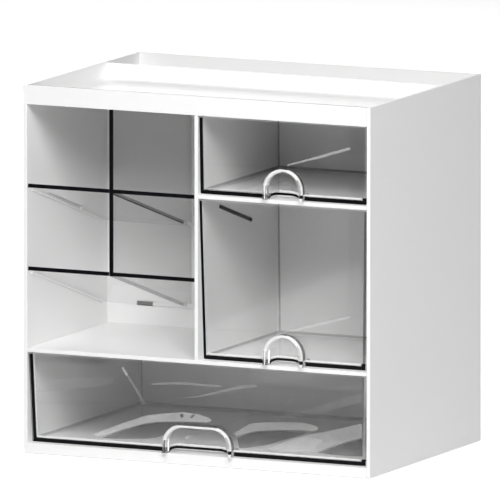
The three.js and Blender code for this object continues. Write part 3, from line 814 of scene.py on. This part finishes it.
def finish_tray_faces(bm, body, low, high, front_foot, edge_top):
    """Gives each face its finish, by its strip, its place and the way that it faces: painted black
    edges, painted highlights and painted shade.
    """
    centre = (low.x + high.x) / 2
    for face in bm.faces:
        middle, normal, zone = face.calc_center_median(), face.normal, face.material_index
        heights = [vert.co.z for vert in face.verts]
        tall = max(heights) - min(heights) > 2 * LIGHT_LINE
        in_front = middle.y < front_foot + TRAY_CORNER
        towards_front = normal.y < -BARELY_TURNED
        rounded = in_front and towards_front and -NEARLY_SQUARE < normal.y and middle.z < edge_top
        at_foot = middle.z < low.z + FOOT_ROUND + FOOT_LINE
        at_left, at_right = middle.x < low.x + LEFT_REACH, middle.x > high.x - RIGHT_REACH
        top_left = body == "top_drawer" and middle.x < centre
        off_ends = low.x + LIGHT_FROM_ENDS < middle.x < high.x - LIGHT_FROM_ENDS
        at_fillet = low.z + TRAY_WALL < middle.z < low.z + TRAY_WALL + FLOOR_FILLET
        fillet = at_fillet and FILLET_TILT[0] < normal.z < FILLET_TILT[1]
        corner = min(abs(normal.x), abs(normal.y)) > CORNER_TILT > abs(normal.z)
        rear_corner = corner and (normal.y < 0 or normal.x > 0)
        rim = middle.z > edge_top
        hood_back = (
            normal.y < -HOOD_TILT
            and abs(middle.y - front_foot - NOTCH_DEPTH) < HOOD_NEAR
            and middle.z < low.z + NOTCH_HEIGHT
        )
        finish = CLEAR
        # The front's strips: a painted highlight line, and painted black edges that turn to painted
        # shade at the right.
        if zone == LIGHT_ZONE and not (tall and off_ends):
            pale = at_left and not at_foot or top_left
            finish = FAINT if pale else CLEAR if at_right else LIGHT
        elif zone == DARK_ZONE or rounded:
            finish = BLACK
            if at_right and middle.z > low.z + FOOT_CORNER:
                finish = FAR_FINISHES[body] if rounded else CLEAR
            elif rounded and at_left and body == "bottom_drawer" and not at_foot:
                finish = FAR
        # Painted shade in the floor fillets, rear corners and on the rim.
        elif not in_front and (fillet or rear_corner or rim and normal.z > RIM_TILT):
            finish = SMOKY
        # Painted highlight on the front's rim and on the notch hood's back wall.
        elif in_front and rim and towards_front:
            finish = FAINT
        elif hood_back:
            finish = LIGHT
        face.material_index = finish


def add_tray(body):
    low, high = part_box(f"{body}_tray")
    height = high.z - low.z
    slope = math.tan(math.radians(TRAY_DRAFTS[body]))
    front_foot = low.y + height * slope
    tray = add_piece(
        f"{body}_tray_finish", tray_skin(low, high, slope), TRAY_FINISHES, body, "clear_drawer",
        f"{body}_tray",
    )
    cut_notch(tray, body, low, front_foot)
    bm = bmesh.new()
    bm.from_mesh(tray.data)
    edge_top = line_front(bm, body, low, high, front_foot)
    split_far_corner(bm, low, high)
    finish_tray_faces(bm, body, low, high, front_foot, edge_top)
    for layer, (finish, outline) in enumerate(SHEENS[body]):
        add_sheen(bm, finish, outline, layer, low, slope, height)
    bm.to_mesh(tray.data)
    bm.free()
    shade_round(tray, FINE_SMOOTH_BELOW)


for body in ("top_drawer", "middle_drawer", "bottom_drawer"):
    add_tray(body)


# Handles
# A clear arched rib stands out from each drawer front, over the notch. It is moulded with the
# front in clear plastic, with a rounded outer side; its highlights, shade and black ticks are
# painted.

HANDLE_ROUND = 1.2 * MM
HANDLE_SEAM = 0.05 * MM
OUTER_MIDDLE = 2.4 * MM
RIB_FOOT = 2.2 * MM
RIB_ANKLE = 4.8 * MM
NARROW_CORNER_SHARE = 0.5
WIDE_CORNER = 15.5 * MM
LEAST_CROWN = 0.015 * MM
ARCH_STEPS = 20
RIB_STEPS = 5
RIB_SHADE = (0.93, 0.94, 0.945)
RIB_LIGHT = (0.97, 0.975, 0.98)
RIB_HAZE_SCALE = 300
RIB_ROUGHNESS = (0.02, 0.06)
RIB_IOR = 1.49
# Degrees along the arch, from 180 at its left leg to 0 at its right leg.
LEFT_LEG, LEFT_OF_CROWN, RIGHT_OF_CROWN, RIGHT_LEG = 165, 95, 75, 35
# A rib's sides, counted round it: outer side in two, outer corner, front, inner corner, inner side.
OUTER_REAR, OUTER_FRONT, OUTER_CORNER = range(3)
FRONT_SIDE = OUTER_CORNER + RIB_STEPS
INNER_SIDE = FRONT_SIDE + RIB_STEPS + 1
# How many steps of a corner take its painted mark, painted shade and painted highlight.
LEFT_MARK_STEPS, SHADE_STEPS, HIGHLIGHT_STEPS = 2, 2, 3
# A rib's finishes: clear, painted highlight, painted shade, painted black tick, faint painted
# highlight.
RIB_CLEAR, RIB_HIGHLIGHT, RIB_PAINTED_SHADE, RIB_BLACK, RIB_FAINT_HIGHLIGHT = range(5)


def clear_rib():
    material, tree, place = new_material("clear_rib")
    haze = noise(tree, place, RIB_HAZE_SCALE, detail=2.0)
    shader = node(
        tree,
        "ShaderNodeBsdfPrincipled",
        Base_Color=colour_between(tree, haze, RIB_SHADE, RIB_LIGHT),
        Roughness=range_of(tree, haze, *RIB_ROUGHNESS),
        Transmission_Weight=1.0,
        IOR=RIB_IOR,
    )
    node(tree, "ShaderNodeOutputMaterial", Surface=shader.outputs["BSDF"])
    return material


rib = clear_rib()
# Painted highlight and painted shade for the ribs.
rib_highlight_paint = painted_highlight("rib_highlight_paint", low_share=0.6, high_share=0.95)
rib_shade_paint = painted_dimming("rib_shade_paint", darkest=0.3, lightest=0.45)


def rib_finish(side, angle, foot, ankle, left_mark):
    """A face's finish, by its place around the rib and along the arch: painted highlights, painted
    shade and painted black ticks.
    """
    at_front = side == FRONT_SIDE
    outer_corner = OUTER_CORNER <= side < FRONT_SIDE
    inner_corner = FRONT_SIDE < side < INNER_SIDE
    if angle > LEFT_LEG:
        if inner_corner and side <= FRONT_SIDE + LEFT_MARK_STEPS:
            return left_mark
        return RIB_FAINT_HIGHLIGHT if at_front else RIB_CLEAR
    if foot:
        return RIB_HIGHLIGHT if outer_corner or at_front else RIB_FAINT_HIGHLIGHT
    if ankle:
        return RIB_BLACK if OUTER_REAR < side <= FRONT_SIDE else RIB_FAINT_HIGHLIGHT
    if side == OUTER_REAR:
        return RIB_PAINTED_SHADE
    if side == OUTER_FRONT:
        return RIB_HIGHLIGHT if angle < RIGHT_OF_CROWN else RIB_PAINTED_SHADE
    if outer_corner and side < OUTER_CORNER + SHADE_STEPS and angle > RIGHT_OF_CROWN:
        return RIB_PAINTED_SHADE
    if angle < RIGHT_LEG:
        return RIB_HIGHLIGHT if outer_corner and side < OUTER_CORNER + HIGHLIGHT_STEPS else RIB_FAINT_HIGHLIGHT
    if side == INNER_SIDE:
        return RIB_FAINT_HIGHLIGHT
    lit = outer_corner or at_front or inner_corner and angle > LEFT_OF_CROWN
    return RIB_HIGHLIGHT if lit else RIB_CLEAR


def arch_stations(width, height, corner):
    """Points along the middle of the rib, with the way that each one's outer side faces."""
    half, quarter = HANDLE_RIB / 2, math.pi / 2
    path = corner - half
    arc_x, arc_z = width / 2 - corner, height - corner
    stations = [(half - width / 2, rise, math.pi) for rise in (0, RIB_FOOT, RIB_ANKLE)]
    for side, start in ((-1, math.pi), (1, quarter)):
        turns = arc(start, start - quarter, ARCH_STEPS)
        if side > 0 and arc_x < LEAST_CROWN:
            turns = turns[1:]
        stations += [
            (side * arc_x + path * math.cos(t), arc_z + path * math.sin(t), t) for t in turns
        ]
    stations += [(width / 2 - half, rise, 0) for rise in (RIB_ANKLE, RIB_FOOT, 0)]
    return stations


def rib_section():
    """The rib's two rounded front corners, out from its middle and back from its front."""
    half = HANDLE_RIB / 2
    return [
        (middle + HANDLE_ROUND * math.cos(t), HANDLE_ROUND * (1 - math.sin(t)))
        for middle, start in ((half - HANDLE_ROUND, 0), (HANDLE_ROUND - half, math.pi / 2))
        for t in arc(start, start + math.pi / 2, RIB_STEPS)
    ]


def add_handle(body, corner):
    low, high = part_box(f"{body}_handle")
    tray_low, tray_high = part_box(f"{body}_tray")
    tray_height = tray_high.z - tray_low.z
    slope = math.tan(math.radians(TRAY_DRAFTS[body]))
    half, centre = HANDLE_RIB / 2, (low.x + high.x) / 2
    stations = arch_stations(high.x - low.x, high.z - low.z, corner)
    section = [(half, None), (half, OUTER_MIDDLE), *rib_section(), (-half, None)]
    rings = []
    for x, z, turn in stations:
        ring = []
        for out, depth in section:
            px, pz = x + out * math.cos(turn), z + out * math.sin(turn)
            if depth is None:
                y = tray_low.y + (tray_height - pz) * slope - HANDLE_SEAM
            else:
                y = low.y + depth
            ring.append(Vector((centre + px, y, low.z + pz)))
        rings.append(ring)
    handle = add_piece(
        f"{body}_handle_finish", loft(rings), [rib, rib_highlight_paint, rib_shade_paint, black_edge, faint_line],
        body, "clear_handle", f"{body}_handle",
    )
    count, end_faces = len(section), 2
    # The left leg's painted mark: a black tick on the wide drawer, a painted highlight on the
    # others.
    left_mark = RIB_BLACK if body == "bottom_drawer" else RIB_HIGHLIGHT
    for k, (first, second) in enumerate(zip(stations, stations[1:])):
        angle = math.degrees((first[2] + second[2]) / 2)
        foot, ankle = k == len(stations) - 2, k == len(stations) - 3
        for side in range(count):
            face = handle.data.polygons[end_faces + k * count + side]
            face.material_index = rib_finish(side, angle, foot, ankle, left_mark)
    shade_round(handle, FINE_SMOOTH_BELOW)


for body in ("top_drawer", "middle_drawer"):
    low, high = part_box(f"{body}_handle")
    add_handle(body, (high.x - low.x) * NARROW_CORNER_SHARE)
add_handle("bottom_drawer", WIDE_CORNER)


# Feet
# Four round pads of soft rubber, moulded with a small rounded lower edge. They are pressed up into
# bosses under the base and carry the cabinet.

FOOT_EDGE = 0.5 * MM
FOOT_EDGE_STEPS = 4
FOOT_TURNS = 48
RUBBER = (0.5, 0.5, 0.49)
RUBBER_LIGHT = (0.62, 0.62, 0.61)
RUBBER_SPECK_SCALE = 900
RUBBER_ROUGHNESS = (0.7, 0.9)
RUBBER_BUMP = 0.3


def soft_rubber():
    material, tree, place = new_material("soft_rubber")
    speck = noise(tree, place, RUBBER_SPECK_SCALE, detail=4.0)
    shader = node(
        tree,
        "ShaderNodeBsdfPrincipled",
        Base_Color=colour_between(tree, speck, RUBBER, RUBBER_LIGHT),
        Roughness=range_of(tree, speck, *RUBBER_ROUGHNESS),
        Normal=bump(tree, speck, RUBBER_BUMP, GRAIN_DEPTH),
    )
    node(tree, "ShaderNodeOutputMaterial", Surface=shader.outputs["BSDF"])
    return material


rubber = soft_rubber()
for cad_node in ("foot_front_left", "foot_front_right", "foot_rear_left", "foot_rear_right"):
    low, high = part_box(cad_node)
    middle, radius = (low + high) / 2, (high.x - low.x) / 2
    profile = [
        (radius - FOOT_EDGE * (1 - math.cos(t)), FOOT_EDGE * (1 - math.sin(t)))
        for t in arc(math.pi / 2, 0, FOOT_EDGE_STEPS)
    ]
    profile.append((radius, high.z - low.z))
    turns = arc(0, 2 * math.pi, FOOT_TURNS)[:-1]
    rings = [
        [Vector((middle.x + r * math.cos(t), middle.y + r * math.sin(t), low.z + z)) for t in turns]
        for r, z in profile
    ]
    name = f"{cad_node}_finish"
    foot = add_piece(name, loft(rings), [rubber], "cabinet", "foot_rubber", cad_node)
    shade_round(foot, FINE_SMOOTH_BELOW)


# Floor, lights and camera
# A pale floor, open at the front left so that the drawer fronts mirror the dark studio there, soft
# square lights, and a camera with a very long lens, for the photograph's nearly parallel view.

VIEW_AZIMUTH = math.radians(25.3)
VIEW_ELEVATION = math.radians(8.58)
LENS = 1500
SENSOR = 36.0
FRAME_WIDTH = 0.38
VIEW_DISTANCE = FRAME_WIDTH * LENS / SENSOR
FARTHEST_SEEN = 50
CLEAR_LAYERS = 32
OBJECT_CENTRE = Vector((0, 2.25 * MM, 141.8 * MM))
SHIFT_RIGHT = -2.05 * MM
SHIFT_UP = 9.96 * MM
FLOOR_REACH = 8.0
FLOOR_LEFT = -0.23
FLOOR_STEP = -0.4
FLOOR_SHADE = (0.8, 0.8, 0.8)
FLOOR_PALE = (0.82, 0.82, 0.82)
FLOOR_CLOUD_SCALE = 3
FLOOR_ROUGHNESS = (0.8, 0.9)
FLOOR_GLOW = 0.68
STUDIO_GLOW = 0.035
LIGHT_DISTANCE = 2.5
LIGHT_SIZE = 1.0
# Each light's name, the direction in which it stands, and its power in watts.
LIGHTS = (
    ("key", (0.346, -0.742, 0.574), 34.5),
    ("right_fill", (0.579, -0.579, 0.574), 16),
    ("high_front", (0.056, -0.64, 0.766), 18),
    ("side_fill", (0.94, 0.0, 0.342), 0.5),
    ("rear_fill", (-0.5, 0.75, 0.43), 13),
)


def pale_floor():
    """Pale, with a glow that only the camera and reflections see."""
    material, tree, place = new_material("pale_floor")
    cloud = noise(tree, place, FLOOR_CLOUD_SCALE, detail=2.0)
    ray = tree.nodes.new("ShaderNodeLightPath")
    seen = combine(tree, "MAXIMUM", ray.outputs["Is Camera Ray"], ray.outputs["Is Glossy Ray"])
    shader = node(
        tree,
        "ShaderNodeBsdfPrincipled",
        Base_Color=colour_between(tree, cloud, FLOOR_SHADE, FLOOR_PALE),
        Roughness=range_of(tree, cloud, *FLOOR_ROUGHNESS),
        Emission_Color=(1, 1, 1, 1),
        Emission_Strength=range_of(tree, seen, 0.0, FLOOR_GLOW),
    )
    node(tree, "ShaderNodeOutputMaterial", Surface=shader.outputs["BSDF"])
    return material


floor_corners = [
    (FLOOR_LEFT, -FLOOR_REACH, 0), (FLOOR_REACH, -FLOOR_REACH, 0), (FLOOR_REACH, FLOOR_REACH, 0),
    (-FLOOR_REACH, FLOOR_REACH, 0), (-FLOOR_REACH, FLOOR_STEP, 0), (FLOOR_LEFT, FLOOR_STEP, 0),
]
floor_mesh = bpy.data.meshes.new("floor")
floor_mesh.from_pydata(floor_corners, [], [range(len(floor_corners))])
floor_mesh.materials.append(pale_floor())
floor = bpy.data.objects.new("floor", floor_mesh)
bpy.context.scene.collection.objects.link(floor)

world = bpy.data.worlds.new("studio")
bpy.context.scene.world = world
world.use_nodes = True
sky = world.node_tree
sky_seen = sky.nodes.new("ShaderNodeLightPath").outputs["Is Camera Ray"]
sky.nodes["Background"].inputs["Color"].default_value = (1, 1, 1, 1)
sky.links.new(range_of(sky, sky_seen, STUDIO_GLOW, 1.0), sky.nodes["Background"].inputs["Strength"])

for name, towards, power in LIGHTS:
    light_data = bpy.data.lights.new(name, "AREA")
    light_data.shape = "SQUARE"
    light_data.size = LIGHT_SIZE
    light_data.energy = power
    light = bpy.data.objects.new(name, light_data)
    bpy.context.scene.collection.objects.link(light)
    direction = Vector(towards).normalized()
    light.location = OBJECT_CENTRE + direction * LIGHT_DISTANCE
    light.rotation_mode = "QUATERNION"
    light.rotation_quaternion = direction.to_track_quat("Z", "Y")

camera_data = bpy.data.cameras.new("camera")
camera_data.sensor_width = SENSOR
camera_data.lens = LENS
camera_data.clip_end = FARTHEST_SEEN
camera = bpy.data.objects.new("camera", camera_data)
bpy.context.scene.collection.objects.link(camera)
back = Vector((
    math.sin(VIEW_AZIMUTH) * math.cos(VIEW_ELEVATION),
    -math.cos(VIEW_AZIMUTH) * math.cos(VIEW_ELEVATION),
    math.sin(VIEW_ELEVATION),
))
turn = back.to_track_quat("Z", "Y")
shift = turn @ Vector((SHIFT_RIGHT, SHIFT_UP, 0))
camera.rotation_mode = "QUATERNION"
camera.rotation_quaternion = turn
camera.location = OBJECT_CENTRE + back * VIEW_DISTANCE + shift
bpy.context.scene.camera = camera
bpy.context.scene.view_settings.view_transform = "Standard"
bpy.context.scene.cycles.transparent_max_bounces = CLEAR_LAYERS
